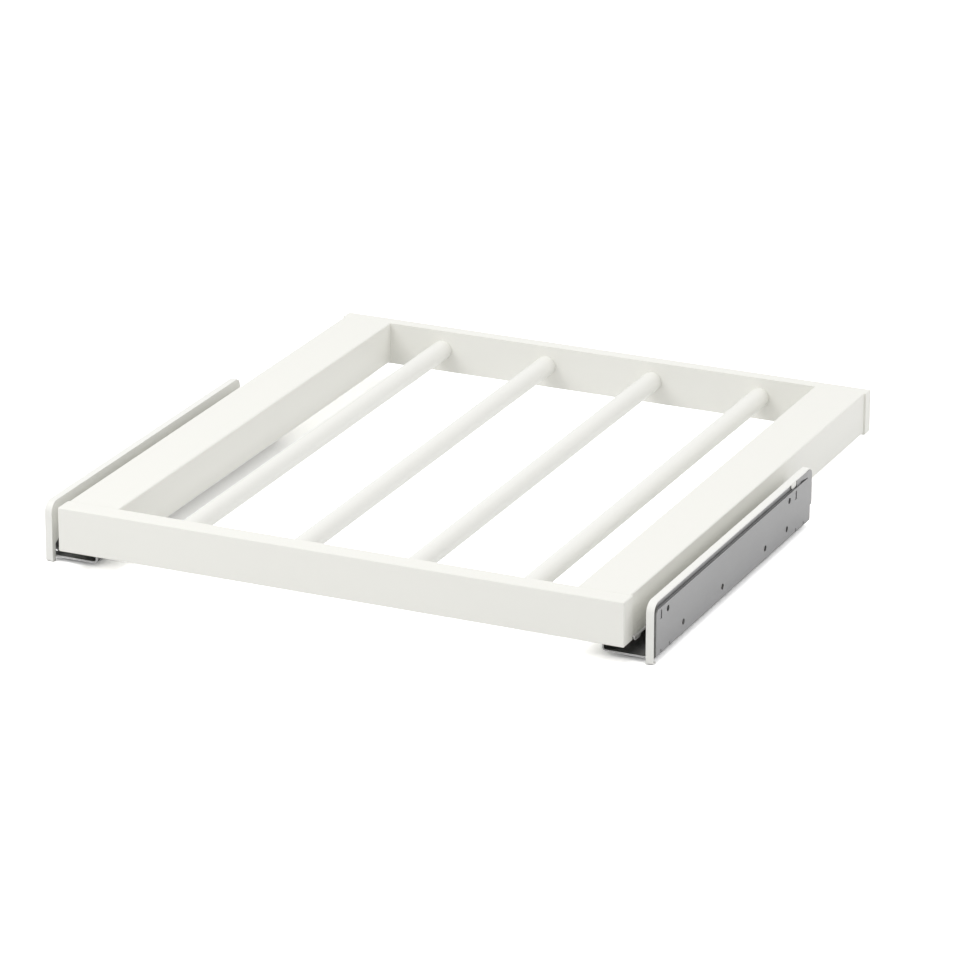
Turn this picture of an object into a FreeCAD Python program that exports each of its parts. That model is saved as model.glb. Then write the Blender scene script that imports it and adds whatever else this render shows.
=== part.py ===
import FreeCAD, Part

import math
import os

V = FreeCAD.Vector

# Pull out trouser rack: a white frame with four round rods, carried by two telescopic roller runners.
# Millimetres, +X to the right, +Y to the back, +Z up. Everything is drawn with y counted back from the
# frame's front face and z up from the feet of the runner covers; write() then centres it in depth.
# The rack is drawn closed. The right runner is drawn and the left one is its mirror image.

# Driving dimensions of the frame
frame_width = 430.0
frame_depth = 468.4
rail_height = 32.7
rail_bottom = 13.8
front_rail_thickness = 14.7
back_rail_thickness = 10.9
side_rail_outer = 213.6
side_rail_width = 39.1
side_rail_bottom = 15.0
edge_chamfer = 0.6
joint_chamfer = 0.2
front_joint_depth = 8.0
back_joint_depth = 6.0
tenon_width = 24.0
tenon_height = 18.0
rod_diameter = 15.0
rod_wall = 1.0
rod_pitch = 87.0
rod_count = 4
rod_height = 31.3

# Runner: cabinet profile of bent steel sheet, with the hooked guide rail welded on its flange
runner_half_width = 232.0
steel = 1.2
flange_underside = 2.6
flange_front = 14.9
plate_front = 15.4
plate_back = 300.8
plate_top = 37.5
plate_bend = 2.0
lip_bend = 2.4
lip_top = 12.2
lip_reach = 3.0
track_centre = 208.4
track_half_width = 14.6
guide_foot_edge = 228.4
hole_diameter = 4.5
lower_hole_height = 12.5
upper_hole_height = 32.5
upper_holes = (35.8, 259.8)
lower_holes = (63.5, 134.1, 214.1, 255.5)
tongue_positions = (23.6, 272.4)
slot_width = 3.0
slot_height = 6.6
tongue_width = 2.0
tongue_height = 6.0
tongue_recess = 0.5
notch_positions = (24.0, 39.0, 273.0, 288.0)
notch_width = 1.4
notch_height = 4.6
notch_mouth = 1.5
corner_cut = 2.5
seat_front = 21.5
seat_back = 275.5
seat_foot = 35.0
seat_gap = 1.2
seat_top = 42.9
seat_end_radius = 3.5
tab_front = 276.5
tab_bend = 289.0
tab_bottom = 35.4
tab_slit_front = 284.0
tab_slit_height = 0.7
ear_front = 295.0
ear_back = 303.6
ear_bottom = 15.5
ear_top = 42.9
ear_radius = 5.0

# Runner: sliding members, roller cages and rollers
member_steel = 1.0
member_bend = 1.0
track_front = 66.0
member_back = 292.0
drawer_front = 20.5
front_tab_back = 30.5
front_tab_bottom = 11.3
front_tab_corner = 1.3
trimmed_wall = 1.6
middle_half_width = 14.2
middle_lip_edge = 8.6
wing_half_width = 12.8
hat_half_width = 6.0
lip_gap = 0.35
access_length = 24.0
access_width = 7.0
roller_diameter = 1.7
roller_length = 21.0
rolling_gap = 0.03
roller_count = 2
roller_pitch = 60.0
cage_front = 131.5
cage_length = 95.0
cage_thickness = 0.9
cage_half_width = 12.6
cage_corner = 2.0
cage_opening_length = 24.0
cage_opening_width = 14.0
roller_clearance = 0.15
screw_positions = (47.0, 263.0)
screw_diameter = 3.5
screw_length = 15.0
screw_head_diameter = 7.0
screw_head_height = 1.8

# Runner: moulded cover and closing bumper
cover_front = 11.2
cover_back = 303.8
cover_inner = 226.2
cover_outer = 231.8
cover_top = 44.0
cover_wall = 1.6
cover_return = 3.6
cover_front_radius = 8.0
cover_back_radius = 6.0
rim_thickness = 0.8
rim_back = 299.5
foot_length = 4.7
wall_bottom = 16.8
return_top = 12.0
return_slope = 0.6
rib_positions = (75.0, 147.0, 219.0)
rib_thickness = 1.6
rib_bottom = 32.0
bumper_front = 292.4
bumper_thickness = 6.0
bumper_half_width = 6.0
bumper_top = 11.5
bumper_chamfer = 1.2

# Gaps between fitted pieces, and how far a cutter runs past the faces that it opens
fit_gap = 0.05
clear_gap = 0.3
past = 1.0

# Heights worked out from the stack of flange, rollers and members, and other places worked out
flange_top = flange_underside + steel
roller_room = roller_diameter + 2 * rolling_gap
middle_web = flange_top + roller_room
wing_bottom = middle_web + member_steel + roller_room
middle_top = wing_bottom + member_steel + lip_gap + member_steel
guide_lip_bottom = middle_top + lip_gap
rail_top = rail_bottom + rail_height
back_rail_front = frame_depth - back_rail_thickness
side_rail_inner = side_rail_outer - side_rail_width
side_rail_middle = side_rail_outer - side_rail_width / 2
plate_inner = runner_half_width - steel
strip_back = cover_front + rim_thickness + cover_return


def write(node, shape):
    """Centre a finished shape in depth and write it as one node."""
    placed = shape.copy()
    placed.translate(V(0, -frame_depth / 2, 0))
    placed.exportStep(os.path.join("parts", node + ".step"))


def write_pair(name, shape):
    """Write the right-hand shape and its mirror image as two nodes."""
    write(name + "_right", shape)
    write(name + "_left", mirrored(shape))


def mirrored(shape):
    return shape.mirror(V(0, 0, 0), V(1, 0, 0))


def both_sides(shapes):
    """One group holding right-hand shapes and their mirror images."""
    return Part.makeCompound(shapes + [mirrored(shape) for shape in shapes])


def block(x0, x1, y0, y1, z0, z1):
    return Part.makeBox(x1 - x0, y1 - y0, z1 - z0, V(x0, y0, z0))


def pin(start, end, radius):
    """A cylinder between two points."""
    return Part.makeCylinder(radius, start.distanceToPoint(end), start, end - start)


def prism(corners, sweep):
    """A flat outline with straight sides, swept along sweep."""
    outline = Part.makePolygon(corners + corners[:1])
    return Part.Face(outline).extrude(sweep)


def edges_along(shape, axis):
    """The straight edges of a shape that run along an axis."""
    return [edge for edge in shape.Edges if abs(edge.tangentAt(edge.FirstParameter).dot(axis)) > 0.999]


def evenly_placed(count, pitch, middle):
    """Positions at an even pitch about a middle."""
    first = middle - pitch * (count - 1) / 2
    return [first + pitch * index for index in range(count)]


# Bent sheet

def in_xz(a, b):
    return V(a, 0, b)


def in_yz(a, b):
    return V(0, a, b)


def offset_side(path, offset, radii, place):
    """Edges along one side of a bent path, drawn to the left of it by offset."""
    points = [V(a, b, 0) for a, b in path]
    heading = (points[1] - points[0]).normalize()
    start = points[0] + V(-heading.y, heading.x, 0) * offset
    first = start
    edges = []
    for corner, after, radius in zip(points[1:], points[2:], radii):
        leaving = (after - corner).normalize()
        side = math.copysign(1, heading.cross(leaving).z)
        reach = radius * math.tan(heading.getAngle(leaving) / 2)
        to_left = V(-heading.y, heading.x, 0)
        centre = corner - heading * reach + to_left * radius * side
        size = radius - side * offset
        bend_start = centre - to_left * side * size
        bend_middle = centre + (corner - centre).normalize() * size
        bend_end = centre - V(-leaving.y, leaving.x, 0) * side * size
        edges.append(Part.LineSegment(place(start.x, start.y), place(bend_start.x, bend_start.y)).toShape())
        bend = [place(p.x, p.y) for p in (bend_start, bend_middle, bend_end)]
        edges.append(Part.Arc(*bend).toShape())
        start = bend_end
        heading = leaving
    last = points[-1] + V(-heading.y, heading.x, 0) * offset
    edges.append(Part.LineSegment(place(start.x, start.y), place(last.x, last.y)).toShape())
    return edges, place(first.x, first.y), place(last.x, last.y)


def bent_sheet(path, thickness, radii, place, sweep):
    """A sheet whose middle line follows path, with bends of the given middle radii, swept along sweep."""
    left, left_start, left_end = offset_side(path, thickness / 2, radii, place)
    right, right_start, right_end = offset_side(path, -thickness / 2, radii, place)
    caps = [
        Part.LineSegment(left_start, right_start).toShape(),
        Part.LineSegment(left_end, right_end).toShape(),
    ]
    outline = Part.Wire(Part.__sortEdges__(left + right + caps))
    return Part.Face(outline).extrude(sweep)


def profile_along_y(path, thickness, radii, y0, y1):
    sheet = bent_sheet(path, thickness, radii, in_xz, V(0, y1 - y0, 0))
    sheet.translate(V(0, y0, 0))
    return sheet


def around_track(half_profile):
    """Mirror the outer half of a symmetric track section about the track's centre line."""
    inner = [(track_centre - offset, z) for offset, z in reversed(half_profile)]
    outer = [(track_centre + offset, z) for offset, z in half_profile]
    return inner + outer


# Frame

def cross_rail(y0, y1, joint_face):
    """Front or back rail, its long edges eased less on the face that the side rails butt against."""
    board = block(-frame_width / 2, frame_width / 2, y0, y1, rail_bottom, rail_top)
    long_edges = edges_along(board, V(1, 0, 0))
    joint_edges = [edge for edge in long_edges if abs(edge.CenterOfMass.y - joint_face) < fit_gap]
    board = board.makeChamfer(joint_chamfer, joint_edges)
    outer_edges = [edge for edge in board.Edges if abs(edge.CenterOfMass.y - joint_face) > edge_chamfer]
    return board.makeChamfer(edge_chamfer, outer_edges)


def front_tenon(gap=0.0):
    """Stub tenon on a side rail's front end, or with a gap the cutter for its mortise."""
    return tenon(front_rail_thickness - front_joint_depth, front_rail_thickness, gap)


def back_tenon(gap=0.0):
    return tenon(back_rail_front, back_rail_front + back_joint_depth, gap)


def tenon(y0, y1, gap):
    middle = (side_rail_bottom + rail_top) / 2
    half_width = tenon_width / 2 + gap
    half_height = tenon_height / 2 + gap
    return block(side_rail_middle - half_width, side_rail_middle + half_width, y0 - gap, y1 + gap,
                 middle - half_height, middle + half_height)


def rod_sockets(y0, y1):
    """Cutters for the blind holes that the rods' ends stand in."""
    radius = rod_diameter / 2 + fit_gap
    return [pin(V(x, y0, rod_height), V(x, y1, rod_height), radius)
            for x in evenly_placed(rod_count, rod_pitch, 0)]


def front_rail():
    rail = cross_rail(0, front_rail_thickness, front_rail_thickness)
    sockets = rod_sockets(front_rail_thickness + past, front_rail_thickness - front_joint_depth)
    return rail.cut(Part.makeCompound(sockets)).cut(both_sides([front_tenon(fit_gap)]))


def back_rail():
    rail = cross_rail(back_rail_front, frame_depth, back_rail_front)
    sockets = rod_sockets(back_rail_front - past, back_rail_front + back_joint_depth)
    return rail.cut(Part.makeCompound(sockets)).cut(both_sides([back_tenon(fit_gap)]))


def side_rail():
    """Side rail with a stub tenon at each end and pilot holes for the drawer member's screws."""
    board = block(side_rail_inner, side_rail_outer, front_rail_thickness, back_rail_front,
                  side_rail_bottom, rail_top)
    rail = board.makeChamfer(edge_chamfer, edges_along(board, V(0, 1, 0)))
    rail = rail.fuse([front_tenon(), back_tenon()])
    return rail.cut(Part.makeCompound([screw_hole(y) for y in screw_positions]))


def rod(x):
    """Steel tube, its ends let into the front and the back rail."""
    start = V(x, front_rail_thickness - front_joint_depth + fit_gap, rod_height)
    end = V(x, back_rail_front + back_joint_depth - fit_gap, rod_height)
    return pin(start, end, rod_diameter / 2).cut(pin(start, end, rod_diameter / 2 - rod_wall))


def screw(y):
    """Pan head screw up through the drawer member into a side rail."""
    seat = V(track_centre, y, side_rail_bottom - member_steel)
    head = pin(seat, seat - V(0, 0, screw_head_height), screw_head_diameter / 2)
    shank = pin(seat, seat + V(0, 0, screw_length), screw_diameter / 2)
    return head.fuse(shank)


def screw_hole(y):
    seat = V(track_centre, y, side_rail_bottom - member_steel)
    return pin(seat, seat + V(0, 0, screw_length + fit_gap), screw_diameter / 2 + fit_gap)


# Runner, right side

def cabinet_profile():
    """Bent steel profile that screws to the wardrobe side, with the cover's seat along its top edge."""
    lip_x = track_centre - track_half_width - steel / 2
    flange_z = flange_underside + steel / 2
    plate_x = runner_half_width - steel / 2
    path = [
        (lip_x + lip_reach + steel / 2, lip_top - steel / 2),
        (lip_x, lip_top - steel / 2),
        (lip_x, flange_z),
        (plate_x, flange_z),
        (plate_x, plate_top),
    ]
    profile = profile_along_y(path, steel, [member_bend, lip_bend, plate_bend], flange_front, plate_back)
    profile = profile.cut(cover_strip_room())
    profile = profile.fuse([cover_seat(), rear_tab(), rear_ear()]).removeSplitter()
    profile = profile.cut(Part.makeCompound(plate_cutters()))
    return profile.fuse([lanced_tongue(y) for y in tongue_positions])


def cover_strip_room():
    """Cutters that clear the flange's and the plate's front corner for the cover's front strip."""
    low = flange_underside - past
    high = plate_top + past
    beside_strip = block(cover_inner - clear_gap, plate_inner, flange_front - past, strip_back + clear_gap,
                         low, high)
    before_plate = block(plate_inner - steel, runner_half_width + past, flange_front - past, plate_front,
                         low, high)
    return [beside_strip, before_plate]


def cover_seat():
    """Strip spot welded behind the plate's top edge and bent inwards, that the moulded cover hooks over."""
    foot_x = plate_inner - steel / 2
    path = [
        (foot_x, seat_foot),
        (foot_x, seat_foot + steel / 2),
        (foot_x - seat_gap, plate_top - steel / 2),
        (foot_x - seat_gap, seat_top),
    ]
    strip = profile_along_y(path, steel, [steel, steel], seat_front, seat_back)
    return round_top_rear_corner(strip, seat_end_radius)


def rear_tab():
    """Tab that steps inwards from the ear, so that it lies behind the plate's top edge."""
    tab_inner = plate_inner - steel
    corners = [
        V(tab_inner, tab_front, tab_bottom),
        V(tab_inner, tab_bend, tab_bottom),
        V(plate_inner, ear_front, tab_bottom),
        V(plate_inner, ear_front + steel, tab_bottom),
        V(runner_half_width, ear_front + steel, tab_bottom),
        V(runner_half_width, ear_front, tab_bottom),
        V(plate_inner, tab_bend, tab_bottom),
        V(plate_inner, tab_front, tab_bottom),
    ]
    return prism(corners, V(0, 0, ear_top - tab_bottom))


def rear_ear():
    """Tall rear end of the plate, longer than the rest of it, with a rounded top corner."""
    ear = block(plate_inner, runner_half_width, ear_front, ear_back, ear_bottom, ear_top)
    return round_top_rear_corner(ear, ear_radius)


def round_top_rear_corner(sheet, radius):
    """Round the upper rear corner of a sheet that faces along X."""
    cross_edges = edges_along(sheet, V(1, 0, 0))
    top_corner = max(cross_edges, key=lambda edge: edge.CenterOfMass.y + edge.CenterOfMass.z)
    return sheet.makeFillet(radius, [top_corner])


def plate_cutters():
    """Screw holes, slots, bottom notches, the slit under the rear tab, and the cut front corners."""
    inside = plate_inner - seat_gap - 2 * steel
    outside = runner_half_width + past
    between = plate_inner - fit_gap
    places = [(y, upper_hole_height) for y in upper_holes] + [(y, lower_hole_height) for y in lower_holes]
    cutters = [pin(V(inside, y, z), V(outside, y, z), hole_diameter / 2) for y, z in places]
    cutters += [upright_slot(inside, outside, y) for y in tongue_positions]
    cutters += [notch(plate_inner - plate_bend, outside, y) for y in notch_positions]
    cutters.append(block(inside, outside, tab_slit_front, ear_front, plate_top, plate_top + tab_slit_height))
    cutters.append(corner_cutter(between, outside, plate_front, plate_top))
    cutters.append(corner_cutter(inside, between, seat_front, seat_top))
    return cutters


def upright_slot(x0, x1, y):
    """Cutter for the slot that a lanced tongue stands in."""
    return block(x0, x1, y - slot_width / 2, y + slot_width / 2,
                 upper_hole_height - slot_height / 2, upper_hole_height + slot_height / 2)


def lanced_tongue(y):
    """Tongue lanced from the plate and set inwards, rooted at the foot of its slot."""
    foot = upper_hole_height - slot_height / 2
    return block(plate_inner - tongue_recess, runner_half_width - tongue_recess,
                 y - tongue_width / 2, y + tongue_width / 2, foot - tongue_recess, foot + tongue_height)


def notch(x0, x1, y):
    """Cutter for a relief notch across the plate's bottom bend, with a splayed mouth."""
    half = notch_width / 2
    low = flange_underside - past
    mouth = half + notch_mouth + past
    neck = flange_underside + notch_mouth
    top = flange_underside + notch_height
    corners = [V(x0, y - mouth, low), V(x0, y - half, neck), V(x0, y - half, top),
               V(x0, y + half, top), V(x0, y + half, neck), V(x0, y + mouth, low)]
    return prism(corners, V(x1 - x0, 0, 0))


def corner_cutter(x0, x1, y, z):
    """Wedge that takes the upper front corner off a sheet that faces along X."""
    size = corner_cut + past
    corners = [V(x0, y - past, z + past), V(x0, y + size, z + past), V(x0, y - past, z - size)]
    return prism(corners, V(x1 - x0, 0, 0))


def guide_rail():
    """Hooked rail spot welded on the flange: the outer wall of the track."""
    wall_x = track_centre + track_half_width + member_steel / 2
    foot_z = flange_top + member_steel / 2
    lip_z = guide_lip_bottom + member_steel / 2
    path = [
        (guide_foot_edge, foot_z),
        (wall_x, foot_z),
        (wall_x, lip_z),
        (wall_x - lip_reach - member_steel / 2, lip_z),
    ]
    return profile_along_y(path, member_steel, [member_bend, member_bend], track_front, member_back)


def middle_member():
    """Channel with inturned lips that runs on the lower rollers and carries the upper ones."""
    half = member_steel / 2
    section = around_track([
        (middle_half_width - half, middle_web + half),
        (middle_half_width - half, middle_top - half),
        (middle_lip_edge, middle_top - half),
    ])
    member = profile_along_y(section, member_steel, [member_bend] * 4, track_front, member_back)
    rear_screw = max(screw_positions)
    access = block(track_centre - access_width / 2, track_centre + access_width / 2,
                   rear_screw - access_length / 2, rear_screw + access_length / 2,
                   middle_web - past, middle_web + member_steel + past)
    return member.cut(access)


def drawer_member():
    """Hat section screwed under a side rail, its wings held between the upper rollers and the lips.

    Its top runs on past the wings and the front screw, and a tab of its walls hangs down at the front end.
    """
    half = member_steel / 2
    section = around_track([
        (hat_half_width - half, side_rail_bottom - half),
        (hat_half_width - half, wing_bottom + half),
        (wing_half_width, wing_bottom + half),
    ])
    member = profile_along_y(section, member_steel, [member_bend] * 4, drawer_front, member_back)
    cutters = [screw_hole(y) for y in screw_positions] + [front_trim()]
    member = member.cut(Part.makeCompound(cutters))
    tab_corners = [
        edge for edge in edges_along(member, V(1, 0, 0))
        if edge.CenterOfMass.y < track_front and abs(edge.CenterOfMass.z - front_tab_bottom) < fit_gap
    ]
    return member.makeChamfer(front_tab_corner, tab_corners)


def front_trim():
    """Cutter that takes the wings and the lower walls off the hat's front end, but for its tab."""
    reach = wing_half_width + past
    low = wing_bottom - past
    below_tab = block(track_centre - reach, track_centre + reach, drawer_front - past, track_front,
                      low, front_tab_bottom)
    behind_tab = block(track_centre - reach, track_centre + reach, front_tab_back, track_front,
                       low, side_rail_bottom - trimmed_wall)
    return below_tab.fuse(behind_tab)


def roller_places():
    return evenly_placed(roller_count, roller_pitch, cage_front + cage_length / 2)


def rollers(track_floor):
    """A row of rollers lying across the track on the given floor."""
    z = track_floor + rolling_gap + roller_diameter / 2
    reach = roller_length / 2
    return Part.makeCompound([
        pin(V(track_centre - reach, y, z), V(track_centre + reach, y, z), roller_diameter / 2)
        for y in roller_places()
    ])


def roller_cage(track_floor):
    """Flat moulded strip with a window for each roller and an opening between each two."""
    z = track_floor + (roller_room - cage_thickness) / 2
    cage = block(track_centre - cage_half_width, track_centre + cage_half_width,
                 cage_front, cage_front + cage_length, z, z + cage_thickness)
    cage = cage.makeChamfer(cage_corner, edges_along(cage, V(0, 0, 1)))
    window_width = roller_length + 2 * roller_clearance
    window_depth = roller_diameter + 2 * roller_clearance
    windows = [cage_window(y, window_width, window_depth, z) for y in roller_places()]
    gaps = evenly_placed(roller_count - 1, roller_pitch, cage_front + cage_length / 2)
    openings = [cage_window(y, cage_opening_width, cage_opening_length, z) for y in gaps]
    return cage.cut(Part.makeCompound(windows + openings))


def cage_window(y, width, length, z):
    return block(track_centre - width / 2, track_centre + width / 2, y - length / 2, y + length / 2,
                 z - past, z + cage_thickness + past)


def cover():
    """Moulded cover: a side wall with a rim that turns over the profile's front and top."""
    return cover_side().fuse([cover_rim()] + ribs()).removeSplitter()


def cover_rim():
    """Rim from the foot, up the front strip, round its corner and back along the top."""
    half = rim_thickness / 2
    path = [
        (cover_front + foot_length, half),
        (cover_front + half, half),
        (cover_front + half, cover_top - half),
        (rim_back, cover_top - half),
    ]
    rim = bent_sheet(path, rim_thickness, [rim_thickness, cover_front_radius - half], in_yz,
                     V(cover_outer - cover_inner, 0, 0))
    rim.translate(V(cover_inner, 0, 0))
    return rim


def cover_side():
    """Side wall of the cover, which reaches down to the foot only close behind the front strip."""
    front_turn = cover_front_radius * (1 - math.sqrt(0.5))
    back_turn = cover_back_radius * (1 - math.sqrt(0.5))
    front_low = in_yz(cover_front, cover_top - cover_front_radius)
    front_high = in_yz(cover_front + cover_front_radius, cover_top)
    back_high = in_yz(cover_back - cover_back_radius, cover_top)
    back_low = in_yz(cover_back, cover_top - cover_back_radius)
    upper_edge = [
        Part.Arc(front_low, in_yz(cover_front + front_turn, cover_top - front_turn), front_high),
        Part.LineSegment(front_high, back_high),
        Part.Arc(back_high, in_yz(cover_back - back_turn, cover_top - back_turn), back_low),
    ]
    lower_edge = [
        back_low,
        in_yz(cover_back, wall_bottom),
        in_yz(strip_back + (wall_bottom - return_top) / return_slope, wall_bottom),
        in_yz(strip_back, return_top),
        in_yz(strip_back, 0),
        in_yz(cover_front, 0),
        front_low,
    ]
    edges = [curve.toShape() for curve in upper_edge]
    edges += [Part.LineSegment(a, b).toShape() for a, b in zip(lower_edge, lower_edge[1:])]
    wall = Part.Face(Part.Wire(edges)).extrude(V(cover_wall, 0, 0))
    wall.translate(V(cover_inner, 0, 0))
    return wall


def ribs():
    """Short ribs under the rim that reach in beside the profile's top edge."""
    reach = plate_inner - seat_gap - steel - fit_gap
    return [
        block(cover_inner + cover_wall / 2, reach, y - rib_thickness / 2, y + rib_thickness / 2,
              rib_bottom, cover_top - rim_thickness / 2)
        for y in rib_positions
    ]


def closing_bumper():
    """Rubber block on the flange at the track's closed end."""
    body = block(track_centre - bumper_half_width, track_centre + bumper_half_width,
                 bumper_front, bumper_front + bumper_thickness, flange_top, bumper_top)
    upper_edges = [edge for edge in body.Edges if edge.BoundBox.ZMax > flange_top + past]
    return body.makeChamfer(bumper_chamfer, upper_edges)


def write_frame():
    write("front_rail", front_rail())
    write("back_rail", back_rail())
    write_pair("side_rail", side_rail())
    for index, x in enumerate(evenly_placed(rod_count, rod_pitch, 0)):
        write("rod_%d" % (index + 1), rod(x))
    write_pair("drawer_member", drawer_member())
    write("drawer_member_screws", both_sides([screw(y) for y in screw_positions]))


def write_runners():
    write_pair("cabinet_profile", cabinet_profile())
    write_pair("guide_rail", guide_rail())
    write_pair("runner_cover", cover())
    write_pair("closing_bumper", closing_bumper())
    write_pair("middle_member", middle_member())
    write_pair("lower_cage", roller_cage(flange_top))
    write_pair("lower_rollers", rollers(flange_top))
    write_pair("upper_cage", roller_cage(middle_web + member_steel))
    write_pair("upper_rollers", rollers(middle_web + member_steel))


os.makedirs("parts", exist_ok=True)
write_frame()
write_runners()
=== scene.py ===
import math

import bmesh
import bpy
from bpy.props import FloatProperty, FloatVectorProperty, PointerProperty
from mathutils import Matrix, Vector


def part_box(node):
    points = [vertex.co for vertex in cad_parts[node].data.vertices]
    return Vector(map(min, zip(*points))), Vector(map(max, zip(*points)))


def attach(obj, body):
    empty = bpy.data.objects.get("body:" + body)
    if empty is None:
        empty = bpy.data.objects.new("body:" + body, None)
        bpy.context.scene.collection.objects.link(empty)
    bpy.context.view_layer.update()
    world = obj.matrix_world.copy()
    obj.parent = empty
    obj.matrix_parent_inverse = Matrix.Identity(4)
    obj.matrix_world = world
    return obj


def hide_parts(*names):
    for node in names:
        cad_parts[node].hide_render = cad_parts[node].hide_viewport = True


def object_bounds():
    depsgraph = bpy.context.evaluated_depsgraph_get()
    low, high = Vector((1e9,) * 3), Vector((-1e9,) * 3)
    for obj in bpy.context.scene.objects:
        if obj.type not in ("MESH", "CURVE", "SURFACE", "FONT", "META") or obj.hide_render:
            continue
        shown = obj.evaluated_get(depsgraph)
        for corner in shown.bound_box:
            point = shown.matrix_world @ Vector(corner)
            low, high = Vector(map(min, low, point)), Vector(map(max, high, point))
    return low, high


bl_info = {
    "name": "Pull out trouser rack",
    "version": (1, 0, 0),
    "blender": (4, 5, 0),
    "location": "3D view > Sidebar > Trouser rack",
    "description": "Dresses the pull out trouser rack in its finishes and sets it on a floor",
    "category": "Object",
}

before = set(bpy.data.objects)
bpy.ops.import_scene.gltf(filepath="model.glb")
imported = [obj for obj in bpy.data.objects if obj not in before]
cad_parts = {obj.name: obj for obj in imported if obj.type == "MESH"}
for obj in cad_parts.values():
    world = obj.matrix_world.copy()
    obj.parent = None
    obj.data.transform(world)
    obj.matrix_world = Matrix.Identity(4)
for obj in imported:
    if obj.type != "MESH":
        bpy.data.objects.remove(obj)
cad_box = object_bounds()

MM = 0.001
SIDES = ("left", "right")
RODS = ("rod_1", "rod_2", "rod_3", "rod_4")
WHITE = (1.0, 1.0, 1.0)


# Shader maths

# Wear begins, and is full, where 1 - the cosine of the angle at an edge comes to this much.
WEAR_START = 0.01
WEAR_FULL = 0.1


class Term:
    """A node's output socket, with which shader maths is written as Python expressions."""

    def __init__(self, tree, socket):
        self.tree = tree
        self.socket = socket

    def maths(self, operation, *values):
        return self.tree.node("ShaderNodeMath", {"operation": operation}, dict(enumerate(values)))

    def __add__(self, other):
        return self.maths("ADD", self, other)

    def __radd__(self, other):
        return self.maths("ADD", other, self)

    def __sub__(self, other):
        return self.maths("SUBTRACT", self, other)

    def __rsub__(self, other):
        return self.maths("SUBTRACT", other, self)

    def __mul__(self, other):
        return self.maths("MULTIPLY", self, other)

    def __rmul__(self, other):
        return self.maths("MULTIPLY", other, self)

    def greatest(self, other):
        return self.maths("MAXIMUM", self, other)

    def between(self, low, high):
        """0 where the value is at low or less, 1 at high or more, and smooth between."""
        settings = {"interpolation_type": "SMOOTHSTEP"}
        values = {"Value": self, "From Min": low, "From Max": high}
        return self.tree.node("ShaderNodeMapRange", settings, values)

    def swing(self, reach):
        """A value from 0 to 1 as a change by half the reach at most, down or up."""
        return (self - 0.5) * reach


class NodeTree:
    """A tree that is built one node at a time."""

    def __init__(self, tree):
        self.nodes = tree.nodes
        self.links = tree.links
        self.nodes.clear()

    def node(self, kind, settings=None, values=None, output=0):
        """Add a node, set it up, and feed its sockets with numbers, colours or terms.

        Gives the named or numbered output, if the node has any.
        """
        node = self.nodes.new(kind)
        for name, setting in (settings or {}).items():
            setattr(node, name, setting)
        for key, value in (values or {}).items():
            socket = self.socket(node.inputs, key)
            if isinstance(value, Term):
                self.links.new(value.socket, socket)
            else:
                socket.default_value = value
        return Term(self, self.socket(node.outputs, output)) if node.outputs else None

    @staticmethod
    def socket(sockets, key):
        if isinstance(key, int):
            return sockets[key]
        return next(socket for socket in sockets if socket.enabled and socket.name == key)

    def mix(self, factor, first, second):
        """Mix two colours."""
        return self.node("ShaderNodeMix", {"data_type": "RGBA"},
                         {"Factor": factor, "A": first, "B": second}, "Result")


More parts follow.
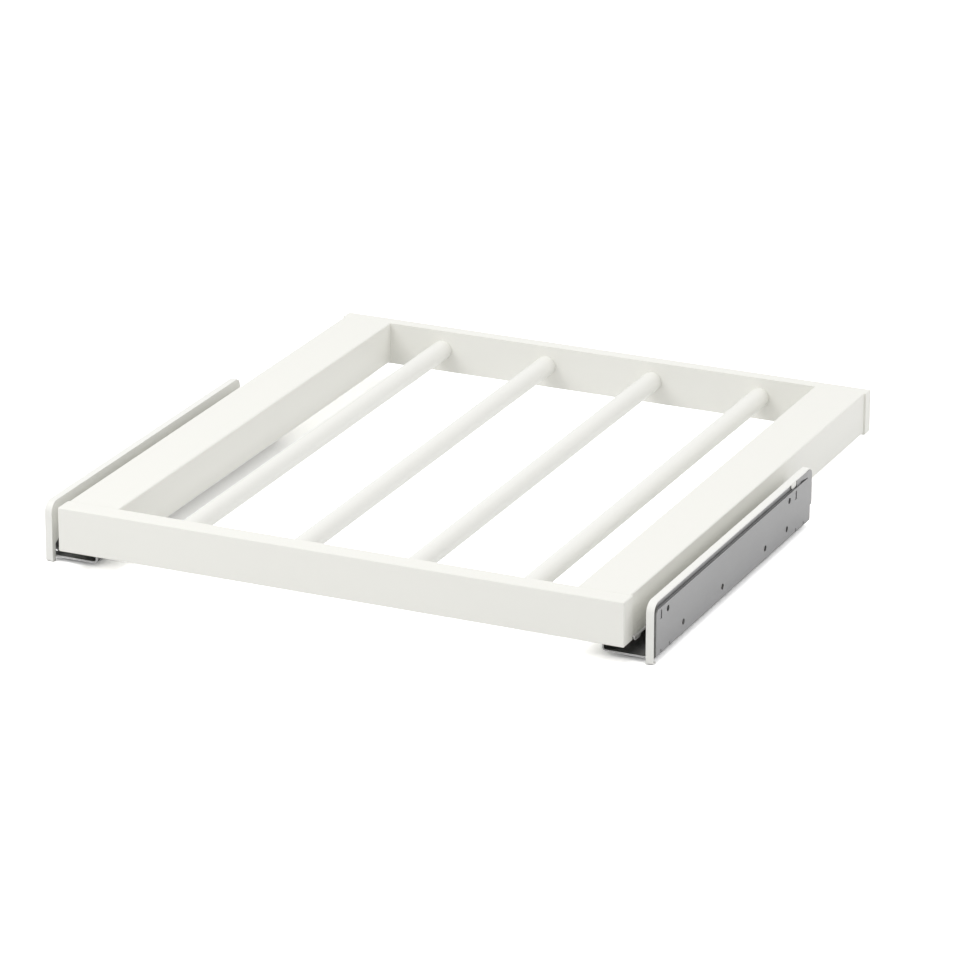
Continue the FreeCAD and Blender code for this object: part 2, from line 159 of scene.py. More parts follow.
class Surface(NodeTree):
    """A material whose patterns are laid out in the object's own metres."""

    def __init__(self, name):
        self.material = bpy.data.materials.new(name)
        self.material.use_nodes = True
        super().__init__(self.material.node_tree)
        self.place = self.node("ShaderNodeTexCoord", output="Object")

    def clouds(self, scale, detail=2.0, roughness=0.55, place=None):
        """Soft noise from 0 to 1; scale is in features per metre."""
        values = {"Vector": place or self.place, "Scale": scale, "Detail": detail,
                  "Roughness": roughness}
        return self.node("ShaderNodeTexNoise", {}, values)

    def streaks(self, scales, detail=2.0, roughness=0.55):
        """Soft noise that is drawn out; scales are in features per metre along each axis."""
        drawn_out = self.node("ShaderNodeVectorMath", {"operation": "MULTIPLY"},
                              {0: self.place, 1: scales})
        return self.clouds(1.0, detail, roughness, drawn_out)

    def grains(self, scale):
        """Crystal-like cells, each with a value of its own from 0 to 1."""
        cells = self.node("ShaderNodeTexVoronoi", {"feature": "F1"},
                          {"Vector": self.place, "Scale": scale}, "Color")
        return self.node("ShaderNodeSeparateColor", {}, {"Color": cells}, "Red")

    def off_centre(self):
        """Distance from the rack's middle plane, in metres."""
        across = self.node("ShaderNodeSeparateXYZ", {}, {"Vector": self.place}, "X")
        return across.greatest(0 - across)

    def edge_wear(self, width):
        """1 along the sharp edges and 0 on the open faces."""
        flat = self.node("ShaderNodeNewGeometry", output="Normal")
        rounded = self.node("ShaderNodeBevel", {"samples": 4}, {"Radius": width})
        likeness = self.node("ShaderNodeVectorMath", {"operation": "DOT_PRODUCT"},
                             {0: flat, 1: rounded}, "Value")
        return (1 - likeness).between(WEAR_START, WEAR_FULL)

    def seclusion(self, reach):
        """1 deep in gaps narrower than reach, 0 on the open faces."""
        open_share = self.node("ShaderNodeAmbientOcclusion", {"samples": 8},
                               {"Distance": reach}, "AO")
        return 1 - open_share

    def shades(self, factor, colour, low, high=1.0):
        """A colour that drifts between a darker and a lighter shade of its own."""
        return self.mix(factor, opaque(colour, low), opaque(colour, high))

    def bump(self, height, depth, strength):
        """A relief of the given depth in metres."""
        values = {"Height": height, "Distance": depth, "Strength": strength}
        return self.node("ShaderNodeBump", {}, values)

    def finish(self, **values):
        """End in a Principled shader; its sockets are given with underscores for spaces."""
        sockets = {name.replace("_", " "): value for name, value in values.items()}
        return self.show(self.node("ShaderNodeBsdfPrincipled", {}, sockets))

    def matt(self, colour):
        """A plain diffuse shader."""
        return self.node("ShaderNodeBsdfDiffuse", {}, {"Color": colour})

    def mix_shaders(self, factor, first, second):
        return self.node("ShaderNodeMixShader", {}, {0: factor, 1: first, 2: second})

    def show(self, shader):
        """Show a shader on the surface, and give the material."""
        self.node("ShaderNodeOutputMaterial", {}, {"Surface": shader})
        return self.material


def opaque(colour, factor=1.0):
    """A colour made lighter or darker, with full alpha."""
    return tuple(channel * factor for channel in colour) + (1.0,)


# Finishes

# How wide the rubbed edges of the foil and the bright sheared edges of the sheet steel are. The
# steel's bright edges are partly bare steel and partly a painted highlight.
RUBBED_EDGE = 0.5 * MM
SHEARED_EDGE = 1.3 * MM
# Painted shade darkens the covers' narrow gaps and the runners' wider mouths.
SHADED_GAP = 5 * MM
SHADED_MOUTH = 30 * MM
# The runner covers' inner walls begin and end this far off the middle plane.
COVER_START = 226 * MM
COVER_END = 229 * MM
# Shares of the painted shade and of the edge wear with its painted highlight that show outside
# those walls, and of the edge wear inside.
OUTER_SHADE = 0.3
OUTER_WEAR_AND_HIGHLIGHT = 0.12
INNER_WEAR_AND_HIGHLIGHT = 0.95


def foil_finish(settings):
    """White satin foil: a faint orange peel, soft tonal drift and slightly yellowed edges."""
    surface = Surface("white_foil")
    drift = surface.clouds(5.0)
    speckle = surface.clouds(1400.0)
    peel = surface.clouds(650.0, detail=3.0)
    wear = surface.edge_wear(RUBBED_EDGE)
    colour = surface.shades(drift, settings.foil, 0.988)
    colour = surface.mix(speckle * 0.25, colour, opaque(settings.foil, 0.97))
    colour = surface.mix(wear * 0.35, colour, opaque(settings.foil_edge))
    return surface.finish(
        Base_Color=colour,
        Roughness=settings.foil_roughness + drift.swing(0.08) + speckle.swing(0.1),
        Specular_IOR_Level=0.4,
        Normal=surface.bump(peel, depth=0.03 * MM, strength=0.5),
    )


def powder_coat_finish(settings):
    """White powder coat on the rods: fine pimpled texture with a satin gloss."""
    surface = Surface("white_powder_coat")
    drift = surface.clouds(9.0)
    pimples = surface.clouds(1100.0, roughness=0.4)
    colour = surface.shades(drift, settings.powder_coat, 0.985)
    return surface.finish(
        Base_Color=surface.mix(pimples * 0.3, colour, opaque(settings.powder_coat, 0.96)),
        Roughness=settings.powder_coat_roughness + pimples.swing(0.12),
        Coat_Weight=0.15,
        Coat_Roughness=0.25,
        Normal=surface.bump(pimples, depth=0.04 * MM, strength=0.6),
    )


def moulded_plastic_finish(settings):
    """Moulded white plastic: fine matt texture, weak flow marks and painted shade deep in its
    gaps.
    """
    surface = Surface("white_plastic")
    texture = surface.clouds(2400.0)
    flow = surface.streaks((60.0, 9.0, 60.0), detail=3.0)
    # Painted shade: the plastic darkens towards a quarter of its colour deep in narrow gaps.
    shade = surface.seclusion(SHADED_GAP).between(0.6, 0.95)
    colour = surface.shades(flow, settings.plastic, 0.98)
    colour = surface.mix(shade * 0.7, colour, opaque(settings.plastic, 0.25))
    return surface.finish(
        Base_Color=surface.mix(texture * 0.2, colour, opaque(settings.plastic, 0.96)),
        Roughness=settings.plastic_roughness + texture.swing(0.1) + flow.swing(0.06),
        Specular_IOR_Level=0.45,
        Normal=surface.bump(texture, depth=0.02 * MM, strength=0.5),
    )


def rolled_steel_finish(name, settings, colour, roughness, oil, mouth_shade, metallic=1.0):
    """Galvanised sheet: small spangle, rolling lines, scuffs and bright sheared edges, partly bare
    steel and partly a painted highlight.

    Painted shade darkens the runner's mouth. Outside the cover's inner wall, most of the painted
    shade and of the edge wear is left off.
    """
    surface = Surface(name)
    spangle = surface.grains(420.0)
    rolling = surface.streaks((2600.0, 14.0, 2600.0), detail=4.0, roughness=0.6)
    scuffs = surface.streaks((900.0, 35.0, 900.0)).between(0.62, 0.75)
    haze = surface.clouds(22.0, detail=3.0)
    inboard = 1 - surface.off_centre().between(COVER_START, COVER_END)
    depth = surface.seclusion(SHADED_MOUTH)
    # The painted shade is darkest towards the mouth's inside, and thins out where the mouth is
    # deepest.
    painted_shade = depth.between(0.42, 0.82) - depth.between(0.75, 0.95) * 0.95
    painted_shade = painted_shade * (OUTER_SHADE + inboard * (1 - OUTER_SHADE)) * mouth_shade
    wear = surface.edge_wear(SHEARED_EDGE) * (OUTER_WEAR_AND_HIGHLIGHT + inboard * (INNER_WEAR_AND_HIGHLIGHT - OUTER_WEAR_AND_HIGHLIGHT))
    shade = surface.shades(spangle, colour, 0.95, 1.05)
    shade = surface.mix(rolling * 0.35, shade, opaque(colour, 0.9))
    shade = surface.mix(scuffs * 0.15, shade, opaque(colour, 1.18))
    # Painted shade: the runner's mouth is darkened to a small share of the steel's colour.
    shade = surface.mix(painted_shade, shade, opaque(colour, 0.08))
    # Lighter sheared edges: partly bare steel, partly a painted highlight.
    shade = surface.mix(wear, shade, opaque(settings.bare_edge_and_highlight))
    relief = rolling * 0.6 + spangle * 0.4
    return surface.finish(
        Base_Color=shade,
        Metallic=metallic,
        Roughness=roughness + spangle.swing(0.08) + haze.swing(0.14) + rolling.swing(0.08),
        Coat_Weight=oil,
        Coat_Roughness=0.3,
        Normal=surface.bump(relief, depth=0.008 * MM, strength=0.35),
    )


def zinc_finish(settings):
    """Zinc plated screws: bluish, with a faint cast of uneven plating."""
    surface = Surface("screw_zinc")
    plating = surface.clouds(900.0, detail=3.0)
    marks = surface.clouds(3200.0, detail=1.0)
    return surface.finish(
        Base_Color=surface.shades(plating, settings.zinc, 0.9, 1.06),
        Metallic=1.0,
        Roughness=0.28 + plating.swing(0.16),
        Normal=surface.bump(marks, depth=0.01 * MM, strength=0.4),
    )


def ground_steel_finish(settings):
    """Ground rollers: fine grinding lines round them and a polished shine."""
    surface = Surface("roller_steel")
    lines = surface.streaks((9000.0, 300.0, 300.0), detail=3.0)
    return surface.finish(
        Base_Color=surface.shades(lines, settings.roller, 0.92),
        Metallic=1.0,
        Roughness=0.16 + lines.swing(0.1),
        Normal=surface.bump(lines, depth=0.003 * MM, strength=0.3),
    )


def nylon_finish(settings):
    """Natural nylon cages: slightly milky, with a soft grain."""
    surface = Surface("cage_nylon")
    grain = surface.clouds(1800.0)
    milk = surface.clouds(40.0)
    return surface.finish(
        Base_Color=surface.shades(milk, settings.nylon, 0.94),
        Roughness=0.48 + grain.swing(0.12),
        Normal=surface.bump(grain, depth=0.015 * MM, strength=0.5),
    )


def rubber_finish(settings):
    """Moulded rubber: matt, with a dusty bloom."""
    surface = Surface("bumper_rubber")
    bloom = surface.clouds(260.0, detail=4.0)
    return surface.finish(
        Base_Color=surface.shades(bloom * 0.5, settings.rubber, 1.0, 2.2),
        Roughness=0.72 + bloom.swing(0.2),
        Normal=surface.bump(bloom, depth=0.04 * MM, strength=0.5),
    )


# Geometry

# Faces that meet at less than the first angle are joined, edges sharper than the second are
# rounded, and edges sharper than the third stay sharp in the shading.
FLAT_LIMIT = math.radians(0.5)
EDGE_LIMIT = math.radians(30)
SMOOTH_LIMIT = math.radians(35)

# Radii of the rounded edges.
RAIL_EDGE = 0.25 * MM
SHEET_EDGE = 0.12 * MM
MOULDED_EDGE = 0.4 * MM
CAGE_EDGE = 0.1 * MM
ROLLER_EDGE = 0.15 * MM


def smooth_by_angle():
    """A node group that shades faces smooth and keeps edges sharper than SMOOTH_LIMIT."""
    name = "smooth_by_angle"
    if name not in bpy.data.node_groups:
        group = bpy.data.node_groups.new(name, "GeometryNodeTree")
        for in_out in ("INPUT", "OUTPUT"):
            group.interface.new_socket("Geometry", in_out=in_out,
                                       socket_type="NodeSocketGeometry")
        tree = NodeTree(group)
        angle = tree.node("GeometryNodeInputMeshEdgeAngle", output="Unsigned Angle")
        sharp = tree.node("FunctionNodeCompare", {"operation": "GREATER_THAN"},
                          {0: angle, 1: SMOOTH_LIMIT})
        faces = tree.node("GeometryNodeSetShadeSmooth", {"domain": "FACE"},
                          {"Geometry": tree.node("NodeGroupInput")})
        edges = tree.node("GeometryNodeSetShadeSmooth", {"domain": "EDGE"},
                          {"Geometry": faces, "Selection": sharp, "Shade Smooth": False})
        tree.node("NodeGroupOutput", {}, {"Geometry": edges})
    return bpy.data.node_groups[name]


def shade_smooth(obj):
    """Shade an object smooth, apart from its sharp edges."""
    shading = obj.modifiers.new("smooth_by_angle", "NODES")
    shading.node_group = smooth_by_angle()


def soften(obj, radius, segments):
    """Round a CAD node's sharp edges with modifiers, which leave its mesh as it is."""
    planes = obj.modifiers.new("join_flat_faces", "DECIMATE")
    planes.decimate_type = "DISSOLVE"
    planes.angle_limit = FLAT_LIMIT
    bevel = obj.modifiers.new("rounded_edges", "BEVEL")
    bevel.width = radius
    bevel.segments = segments
    bevel.limit_method = "ANGLE"
    bevel.angle_limit = EDGE_LIMIT
    bevel.miter_outer = "MITER_ARC"
    shade_smooth(obj)
    normals = obj.modifiers.new("flat_faces_stay_flat", "WEIGHTED_NORMAL")
    normals.keep_sharp = True


def dress(nodes, material, edge_radius=0.0, segments=2):
    """Give CAD nodes one material and, where a radius is given, rounded edges."""
    for node in nodes:
        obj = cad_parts[node]
        for slot in obj.material_slots:
            slot.link = "OBJECT"
            slot.material = material
        if edge_radius:
            soften(obj, edge_radius, segments)


def paired(*names):
    """The names of left and right nodes."""
    return [name + "_" + side for name in names for side in SIDES]


def link_mesh(name, work):
    """Link a new object whose mesh is the one worked on."""
    mesh = bpy.data.meshes.new(name)
    work.to_mesh(mesh)
    work.free()
    obj = bpy.data.objects.new(name, mesh)
    bpy.context.scene.collection.objects.link(obj)
    return obj


def face_outwards(work):
    """Turn every face of the closed forms outwards."""
    bmesh.ops.recalc_face_normals(work, faces=work.faces)


def new_piece(name, work, material, body):
    """Link a mesh piece that rides on a CAD body."""
    face_outwards(work)
    piece = link_mesh(name, work)
    piece.data.materials.append(material)
    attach(piece, body)
    return piece


def skin(work, rings):
    """Faces between rings that follow one another, and across the first and the last."""
    for lower, upper in zip(rings, rings[1:]):
        for i, corner in enumerate(lower):
            after = (i + 1) % len(lower)
            work.faces.new((corner, lower[after], upper[after], upper[i]))
    work.faces.new(reversed(rings[0]))
    work.faces.new(rings[-1])


# Screws

HEAD_RADIUS = 3.5 * MM
HEAD_HEIGHT = 1.8 * MM
HEAD_RIM = 0.5 * MM
HEAD_CHAMFER = 0.1 * MM
DOME_STEPS = 7
# The first ring of the dome stands this far off its pole.
DOME_START = math.radians(6)

SCREW_LENGTH = 15.0 * MM
SHANK_RADIUS = 1.45 * MM
SHANK_END = 1.2 * MM
THREAD_START = 1.4 * MM
THREAD_ROOT = 1.2 * MM
THREAD_CREST = 1.72 * MM
# Half the ridge's width, as a share of the pitch.
RIDGE_SHARE = 0.3
TIP_START = 12.6 * MM
TIP_FLAT = 0.2 * MM

SCREW_CORNERS = 32
STEPS_IN_TURN = 8

CROSS_DEPTH = 1.25 * MM
CROSS_WIDTH = 1.0 * MM
# The cutter starts this far outside the head.
CROSS_CLEARANCE = 0.3 * MM


def screw_places():
    """Where the screws' heads meet the drawer members: near both ends of each track."""
    low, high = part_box("drawer_member_screws")
    seat = low.z + HEAD_HEIGHT
    across = high.x - HEAD_RADIUS
    along = (low.y + HEAD_RADIUS, high.y - HEAD_RADIUS)
    return [Vector((x, y, seat)) for x in (-across, across) for y in along]


def ring(work, place, radii, height):
    """A ring of vertices round an upright axis, one for each radius."""
    step = math.tau / len(radii)
    corners = []
    for i, radius in enumerate(radii):
        corner = Vector((radius * math.cos(step * i), radius * math.sin(step * i), height))
        corners.append(work.verts.new(place + corner))
    return corners


def thread_radius(height, turn, pitch):
    """Radius of a ridge that climbs by the pitch in one turn and fades at both ends."""
    taper = min(1.0, (SCREW_LENGTH - height) / (SCREW_LENGTH - TIP_START))
    fade = max(0.0, min(taper, (height - THREAD_START) / pitch))
    phase = (height / pitch - turn) % 1.0
    ridge = max(0.0, 1.0 - abs(phase - 0.5) / RIDGE_SHARE)
    return THREAD_ROOT * taper + (THREAD_CREST - THREAD_ROOT) * ridge * fade


def add_screw(work, place, pitch):
    """A screw with its domed head below the seat, and its shank and rolled thread above it."""
    levels = []
    for step in range(DOME_STEPS):
        angle = DOME_START + (math.pi / 2 - DOME_START) * step / (DOME_STEPS - 1)
        drop = HEAD_RIM + (HEAD_HEIGHT - HEAD_RIM) * math.cos(angle)
        levels.append((-drop, HEAD_RADIUS * math.sin(angle)))
    levels += [(-HEAD_CHAMFER, HEAD_RADIUS), (0.0, HEAD_RADIUS - HEAD_CHAMFER),
               (0.0, SHANK_RADIUS), (SHANK_END, SHANK_RADIUS)]
    rings = [ring(work, place, [radius] * SCREW_CORNERS, height) for height, radius in levels]
    height = THREAD_START
    while height < SCREW_LENGTH - TIP_FLAT:
        radii = [thread_radius(height, i / SCREW_CORNERS, pitch) for i in range(SCREW_CORNERS)]
        rings.append(ring(work, place, radii, height))
        height += pitch / STEPS_IN_TURN
    skin(work, rings)


def add_cross_cutter(work, place, span):
    """A cross that narrows with depth, standing into a head from below."""
    mouth = -HEAD_HEIGHT - CROSS_CLEARANCE
    levels = ((mouth, span / 2, CROSS_WIDTH / 2),
              (mouth + CROSS_DEPTH, span / 4, CROSS_WIDTH / 3))
    for turned in (False, True):
        rings = []
        for height, reach, half_width in levels:
            corners = ((-reach, -half_width), (reach, -half_width),
                       (reach, half_width), (-reach, half_width))
            if turned:
                corners = [(y, x) for x, y in corners]
            rings.append([work.verts.new(place + Vector((x, y, height))) for x, y in corners])
        skin(work, rings)


def cut_cross_recesses(screws, places, span):
    """Cut a cross into each head, and keep the result as the piece's own mesh."""
    work = bmesh.new()
    for place in places:
        add_cross_cutter(work, place, span)
    face_outwards(work)
    cutter = link_mesh("cross_cutter", work)
    recess = screws.modifiers.new("cross_recess", "BOOLEAN")
    recess.operation = "DIFFERENCE"
    recess.solver = "EXACT"
    recess.use_self = True
    recess.object = cutter
    view = bpy.context.evaluated_depsgraph_get()
    cut = bpy.data.meshes.new_from_object(screws.evaluated_get(view))
    screws.modifiers.clear()
    screws.data = cut
    bpy.data.objects.remove(cutter)


# Cover clips

CLIP_LENGTH = 8.8 * MM
CLIP_HEIGHT = 5.1 * MM
CLIP_CORNER = 2.0 * MM
CORNER_STEPS = 6
# How far each outline stands out from the clip's place, and how far it is drawn in.
CLIP_LEVELS = ((0.0, 0.4 * MM), (0.3 * MM, 0.0), (0.8 * MM, 0.0),
               (1.1 * MM, 0.25 * MM), (1.2 * MM, 0.6 * MM))
# From the runner cover's outermost, rearmost and topmost faces to the clip's place.
CLIP_TO_SIDE = 2.15 * MM
CLIP_TO_BACK = 32.4 * MM
CLIP_TO_TOP = 3.45 * MM


def rounded_outline(half_length, half_height, radius):
    """Points round a rectangle with rounded corners."""
    points = []
    for quarter, (right, up) in enumerate(((1, 1), (-1, 1), (-1, -1), (1, -1))):
        for step in range(CORNER_STEPS + 1):
            angle = math.pi / 2 * (quarter + step / CORNER_STEPS)
            points.append((right * (half_length - radius) + radius * math.cos(angle),
                           up * (half_height - radius) + radius * math.sin(angle)))
    return points


def add_clip(work, place, outwards):
    """A rounded lug that stands out from its place."""
    rings = []
    for reach, inset in CLIP_LEVELS:
        outline = rounded_outline(CLIP_LENGTH / 2 - inset, CLIP_HEIGHT / 2 - inset,
                                  CLIP_CORNER - inset)
        rings.append([work.verts.new(place + Vector((outwards * reach, y, z)))
                      for y, z in outline])
    skin(work, rings)


# Properties

def colour_property(name, description, default):
    return FloatVectorProperty(name=name, description=description, default=default,
                               subtype="COLOR", min=0.0, max=1.0)


def share_property(name, description, default):
    return FloatProperty(name=name, description=description, default=default,
                         subtype="FACTOR", min=0.0, max=1.0)


def gain_property(name, description, default):
    return FloatProperty(name=name, description=description, default=default, min=1.0, max=3.0)


def power_property(name, description, default):
    return FloatProperty(name=name, description=description, default=default,
                         unit="POWER", min=0.0)


def angle_property(name, description, degrees):
    return FloatProperty(name=name, description=description, default=math.radians(degrees),
                         subtype="ANGLE")


class RackFinishes(bpy.types.PropertyGroup):
    """Colours and sheens of the rack's finishes."""

    foil: colour_property(
        "Foil", "Colour of the rails' white foil", (0.93, 0.926, 0.875))
    foil_edge: colour_property(
        "Foil edge", "Colour of the foil where it is rubbed", (0.86, 0.85, 0.79))
    foil_roughness: share_property(
        "Foil roughness", "Roughness of the rails' foil", 0.46)
    powder_coat: colour_property(
        "Powder coat", "Colour of the rods", (0.93, 0.927, 0.885))
    powder_coat_roughness: share_property(
        "Powder coat roughness", "Roughness of the rods", 0.4)
    plastic: colour_property(
        "Plastic", "Colour of the runner covers", (0.93, 0.928, 0.89))
    plastic_roughness: share_property(
        "Plastic roughness", "Roughness of the runner covers", 0.42)
    steel: colour_property(
        "Galvanised steel", "Colour of the runners' sheet steel", (0.345, 0.345, 0.347))
    dark_steel: colour_property(
        "Oiled steel", "Colour of the middle members", (0.27, 0.27, 0.27))
    clean_steel: colour_property(
        "Clean steel", "Colour of the drawer members", (0.64, 0.64, 0.63))
    # Partly bare steel and partly a painted highlight on the sheared edges.
    bare_edge_and_highlight: colour_property(
        "Bare edge", "Colour of the steel's sheared edges", (0.8, 0.8, 0.8))
    steel_roughness: share_property(
        "Steel roughness", "Roughness of the sheet steel", 0.5)
    # Painted shade: how dark the runners' mouths are painted.
    mouth_shade: share_property(
        "Grime", "How dark the oily dust at the runners' mouths is", 1.0)
    zinc: colour_property(
        "Zinc", "Colour of the screws", (0.56, 0.57, 0.6))
    screw_pitch: FloatProperty(
        name="Screw pitch", description="Rise of the screws' thread in one turn",
        default=1.25 * MM, min=0.2 * MM, unit="LENGTH")
    recess_span: FloatProperty(
        name="Cross recess", description="Span of the cross in the screws' heads",
        default=4.0 * MM, min=0.5 * MM, unit="LENGTH")
    roller: colour_property(
        "Roller steel", "Colour of the ground rollers", (0.66, 0.66, 0.67))
    nylon: colour_property(
        "Nylon", "Colour of the roller cages", (0.72, 0.71, 0.64))
    rubber: colour_property(
        "Rubber", "Colour of the closing bumpers", (0.02, 0.02, 0.021))


class RackStudio(bpy.types.PropertyGroup):
    """Floor, light and camera."""

    floor: colour_property(
        "Floor", "Colour of the floor as it lights the rack", (0.86, 0.86, 0.86))
    floor_gain: gain_property(
        "Floor gain", "How much lighter the camera sees the floor", 2.5)
    mirror_gain: gain_property(
        "Mirror gain", "How much lighter metal mirrors the floor", 1.5)
    ambient: share_property(
        "Ambient", "Strength of the even light from all round", 0.53)
    key_power: power_property(
        "Key light", "Power of the softbox high on the left", 20.0)
    front_power: power_property(
        "Front light", "Power of the softbox low on the front left", 12.5)
    top_power: power_property(
        "Top light", "Power of the softbox overhead", 13.0)
    side_power: power_property(
        "Side light", "Power of the softbox on the right", 16.5)
    softbox_size: FloatProperty(
        name="Softbox size", description="Side of each square softbox",
        default=1.6, min=0.1, unit="LENGTH")
    camera_place: FloatVectorProperty(
        name="Camera place", description="Where the camera stands",
        default=(1.4992, -3.2937, 1.3744), subtype="XYZ", unit="LENGTH")
    camera_heading: angle_property(
        "Heading", "Turn of the camera to the left of straight back", 24.435)
    camera_tilt: angle_property(
        "Tilt", "How far the camera looks down", 20.507)
    camera_roll: angle_property(
        "Roll", "Turn of the camera about its own axis", 0.068)
    lens: FloatProperty(
        name="Lens", description="Focal length on a 36 mm wide sensor",
        default=200.69, min=1.0, subtype="DISTANCE_CAMERA")


# Operators

class FinishRails(bpy.types.Operator):
    """Wrap the frame's four rails in white foil with softly eased edges"""

    bl_idname = "trouser_rack.finish_rails"
    bl_label = "Finish the rails"
    bl_options = {"REGISTER", "UNDO"}

    def execute(self, context):
        rails = ["front_rail", "back_rail"] + paired("side_rail")
        dress(rails, foil_finish(context.scene.rack_finishes), RAIL_EDGE)
        return {"FINISHED"}


class FinishRods(bpy.types.Operator):
    """Powder coat the four rods white"""

    bl_idname = "trouser_rack.finish_rods"
    bl_label = "Finish the rods"
    bl_options = {"REGISTER", "UNDO"}

    def execute(self, context):
        dress(RODS, powder_coat_finish(context.scene.rack_finishes))
        return {"FINISHED"}


class FinishCovers(bpy.types.Operator):
    """Give the runner covers moulded plastic with soft edges"""

    bl_idname = "trouser_rack.finish_covers"
    bl_label = "Finish the runner covers"
    bl_options = {"REGISTER", "UNDO"}

    def execute(self, context):
        material = moulded_plastic_finish(context.scene.rack_finishes)
        dress(paired("runner_cover"), material, MOULDED_EDGE, segments=3)
        return {"FINISHED"}


class FitCoverClips(bpy.types.Operator):
    """Fit the covers' rear clips, which show over the plates' top edges"""

    bl_idname = "trouser_rack.fit_cover_clips"
    bl_label = "Fit the cover clips"
    bl_options = {"REGISTER", "UNDO"}

    def execute(self, context):
        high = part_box("runner_cover_right")[1]
        work = bmesh.new()
        for outwards in (-1, 1):
            place = Vector((outwards * (high.x - CLIP_TO_SIDE), high.y - CLIP_TO_BACK,
                            high.z - CLIP_TO_TOP))
            add_clip(work, place, outwards)
        material = moulded_plastic_finish(context.scene.rack_finishes)
        shade_smooth(new_piece("cover_clips", work, material, "runners"))
        return {"FINISHED"}


class FinishProfiles(bpy.types.Operator):
    """Give the cabinet profiles and guide rails grey galvanised sheet"""

    bl_idname = "trouser_rack.finish_profiles"
    bl_label = "Finish the cabinet profiles"
    bl_options = {"REGISTER", "UNDO"}

    def execute(self, context):
        settings = context.scene.rack_finishes
        material = rolled_steel_finish("galvanised_steel", settings, settings.steel,
                                       settings.steel_roughness, oil=0.0, mouth_shade=settings.mouth_shade)
        dress(paired("cabinet_profile", "guide_rail"), material, SHEET_EDGE)
        return {"FINISHED"}


class FinishMiddleMembers(bpy.types.Operator):
    """Give the middle members darker, oiled sheet"""

    bl_idname = "trouser_rack.finish_middle_members"
    bl_label = "Finish the middle members"
    bl_options = {"REGISTER", "UNDO"}

    def execute(self, context):
        settings = context.scene.rack_finishes
        material = rolled_steel_finish("oiled_steel", settings, settings.dark_steel,
                                       settings.steel_roughness - 0.06, oil=0.35,
                                       mouth_shade=settings.mouth_shade)
        dress(paired("middle_member"), material, SHEET_EDGE)
        return {"FINISHED"}


class FinishDrawerMembers(bpy.types.Operator):
    """Give the drawer members clean, lighter sheet"""

    bl_idname = "trouser_rack.finish_drawer_members"
    bl_label = "Finish the drawer members"
    bl_options = {"REGISTER", "UNDO"}

    def execute(self, context):
        settings = context.scene.rack_finishes
        material = rolled_steel_finish("clean_steel", settings, settings.clean_steel,
                                       settings.steel_roughness, oil=0.1, mouth_shade=0.0,
                                       metallic=0.15)
        dress(paired("drawer_member"), material, SHEET_EDGE)
        return {"FINISHED"}


class FinishRollerRows(bpy.types.Operator):
    """Give the cages nylon and the rollers ground steel"""

    bl_idname = "trouser_rack.finish_roller_rows"
    bl_label = "Finish the cages and rollers"
    bl_options = {"REGISTER", "UNDO"}

    def execute(self, context):
        settings = context.scene.rack_finishes
        dress(paired("lower_cage", "upper_cage"), nylon_finish(settings), CAGE_EDGE)
        dress(paired("lower_rollers", "upper_rollers"), ground_steel_finish(settings), ROLLER_EDGE)
        return {"FINISHED"}


class FinishBumpers(bpy.types.Operator):
    """Give the closing bumpers moulded rubber"""

    bl_idname = "trouser_rack.finish_bumpers"
    bl_label = "Finish the closing bumpers"
    bl_options = {"REGISTER", "UNDO"}

    def execute(self, context):
        material = rubber_finish(context.scene.rack_finishes)
        dress(paired("closing_bumper"), material, MOULDED_EDGE, segments=3)
        return {"FINISHED"}


class DriveScrews(bpy.types.Operator):
    """Drive zinc plated pan head screws up through the drawer members into the side rails"""

    bl_idname = "trouser_rack.drive_screws"
    bl_label = "Drive the screws"
    bl_options = {"REGISTER", "UNDO"}

    def execute(self, context):
        settings = context.scene.rack_finishes
        places = screw_places()
        work = bmesh.new()
        for place in places:
            add_screw(work, place, settings.screw_pitch)
        screws = new_piece("pan_head_screws", work, zinc_finish(settings), "frame")
        cut_cross_recesses(screws, places, settings.recess_span)
        shade_smooth(screws)
        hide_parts("drawer_member_screws")
        return {"FINISHED"}


class SetStage(bpy.types.Operator):
    """Lay the pale floor, hang the softboxes, light the surroundings and place the camera"""

    bl_idname = "trouser_rack.set_stage"
    bl_label = "Set the stage"
    bl_options = {"REGISTER", "UNDO"}

    def execute(self, context):
        studio = context.scene.rack_studio
        lay_floor(studio)
        for name, power, place in SOFTBOXES:
            hang_softbox(name, place, getattr(studio, power), studio.softbox_size)
        light_surroundings(context.scene, studio)
        place_camera(context.scene, studio)
        context.scene.view_settings.view_transform = "Standard"
        return {"FINISHED"}


# Stage

FLOOR_HALF_WIDTH = 15.0
FLOOR_CLEARANCE = 0.5 * MM
# Each softbox, the property with its power, and where it hangs. All four face the rack.
SOFTBOXES = (
    ("key_light", "key_power", (-1.5, -0.9, 2.4)),
    ("front_light", "front_power", (-1.2, -2.2, 1.6)),
    ("top_light", "top_power", (0.0, 0.0, 2.8)),
    ("side_light", "side_power", (2.6, 0.9, 1.6)),
)
SENSOR_WIDTH = 36.0


def lay_floor(studio):
    """A wide floor just under the covers' feet."""
    level = cad_box[0].z - FLOOR_CLEARANCE
    work = bmesh.new()
    bmesh.ops.create_grid(work, x_segments=1, y_segments=1, size=FLOOR_HALF_WIDTH,
                          matrix=Matrix.Translation((0.0, 0.0, level)))
    floor = link_mesh("studio_floor", work)
    floor.data.materials.append(floor_finish(studio))


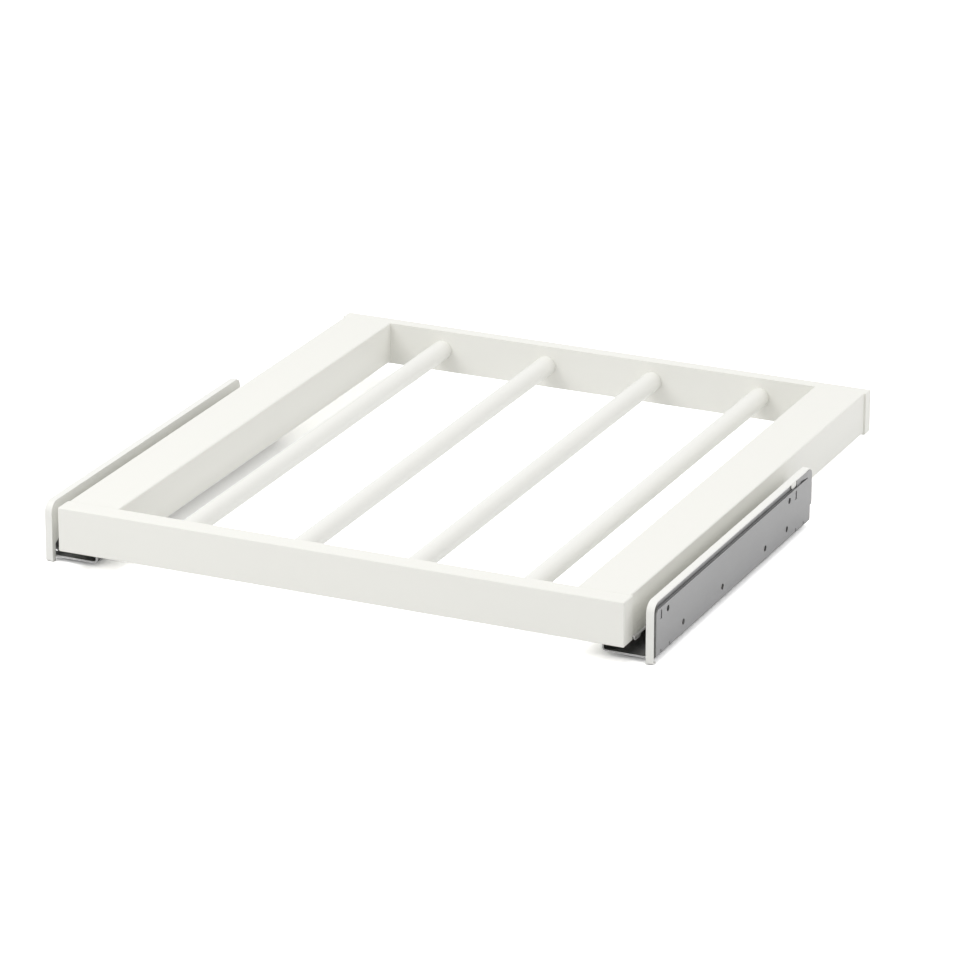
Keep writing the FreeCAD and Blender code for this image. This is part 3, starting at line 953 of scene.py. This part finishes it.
def floor_finish(studio):
    """Matt floor that looks white round the rack's shadow; metal mirrors it less bright."""
    surface = Surface("studio_floor")
    lit = surface.matt(opaque(studio.floor))
    mirrored = surface.matt(opaque(studio.floor, studio.mirror_gain))
    white = surface.matt(opaque(studio.floor, studio.floor_gain))
    shader = surface.mix_shaders(seen_in_metal(surface), lit, mirrored)
    return surface.show(surface.mix_shaders(seen_by_camera(surface), shader, white))


def seen_by_camera(tree):
    return tree.node("ShaderNodeLightPath", output="Is Camera Ray")


def seen_in_metal(tree):
    """1 for rays that a reflection or a clear piece sends out."""
    glossy = tree.node("ShaderNodeLightPath", output="Is Glossy Ray")
    return glossy.greatest(tree.node("ShaderNodeLightPath", output="Is Transmission Ray"))


def hang_softbox(name, place, power, size):
    """A square lamp that faces the rack."""
    data = bpy.data.lights.new(name, "AREA")
    data.energy = power
    data.size = size
    lamp = bpy.data.objects.new(name, data)
    lamp.location = place
    lamp.rotation_euler = (-lamp.location).to_track_quat("-Z", "Y").to_euler()
    bpy.context.scene.collection.objects.link(lamp)


def light_surroundings(scene, studio):
    """Even light from all round, which the camera and metal see as white."""
    scene.world = bpy.data.worlds.new("studio")
    scene.world.use_nodes = True
    tree = NodeTree(scene.world.node_tree)
    seen = seen_by_camera(tree).greatest(seen_in_metal(tree))
    glow = tree.mix(seen, opaque(WHITE, studio.ambient), opaque(WHITE))
    background = tree.node("ShaderNodeBackground", {}, {"Color": glow})
    tree.node("ShaderNodeOutputWorld", {}, {"Surface": background})


def place_camera(scene, studio):
    """A camera that looks down at the rack from the front right."""
    data = bpy.data.cameras.new("studio_camera")
    data.lens = studio.lens
    data.sensor_width = SENSOR_WIDTH
    camera = bpy.data.objects.new("studio_camera", data)
    turn = Matrix.Rotation(studio.camera_heading, 4, "Z")
    tilt = Matrix.Rotation(math.pi / 2 - studio.camera_tilt, 4, "X")
    roll = Matrix.Rotation(studio.camera_roll, 4, "Z")
    camera.matrix_world = Matrix.Translation(studio.camera_place) @ turn @ tilt @ roll
    scene.collection.objects.link(camera)
    scene.camera = camera


# Panel

class RackPanel(bpy.types.Panel):
    """Lists the rack's finishes, studio settings and operators"""

    bl_idname = "VIEW3D_PT_trouser_rack"
    bl_label = "Trouser rack"
    bl_space_type = "VIEW_3D"
    bl_region_type = "UI"
    bl_category = "Trouser rack"

    def draw(self, context):
        layout = self.layout
        for group in (context.scene.rack_finishes, context.scene.rack_studio):
            box = layout.box()
            for name in group.__annotations__:
                box.prop(group, name)
        for operator in OPERATORS:
            layout.operator(operator.bl_idname)


OPERATORS = (FinishRails, FinishRods, FinishCovers, FitCoverClips, FinishProfiles,
             FinishMiddleMembers, FinishDrawerMembers, FinishRollerRows, FinishBumpers,
             DriveScrews, SetStage)
CLASSES = (RackFinishes, RackStudio) + OPERATORS + (RackPanel,)


def register():
    for cls in CLASSES:
        bpy.utils.register_class(cls)
    bpy.types.Scene.rack_finishes = PointerProperty(type=RackFinishes)
    bpy.types.Scene.rack_studio = PointerProperty(type=RackStudio)


def unregister():
    del bpy.types.Scene.rack_studio
    del bpy.types.Scene.rack_finishes
    for cls in reversed(CLASSES):
        bpy.utils.unregister_class(cls)


def main():
    register()
    bpy.ops.trouser_rack.finish_rails()
    bpy.ops.trouser_rack.finish_rods()
    bpy.ops.trouser_rack.finish_covers()
    bpy.ops.trouser_rack.fit_cover_clips()
    bpy.ops.trouser_rack.finish_profiles()
    bpy.ops.trouser_rack.finish_middle_members()
    bpy.ops.trouser_rack.finish_drawer_members()
    bpy.ops.trouser_rack.finish_roller_rows()
    bpy.ops.trouser_rack.finish_bumpers()
    bpy.ops.trouser_rack.drive_screws()
    bpy.ops.trouser_rack.set_stage()


if __name__ == "__main__":
    main()
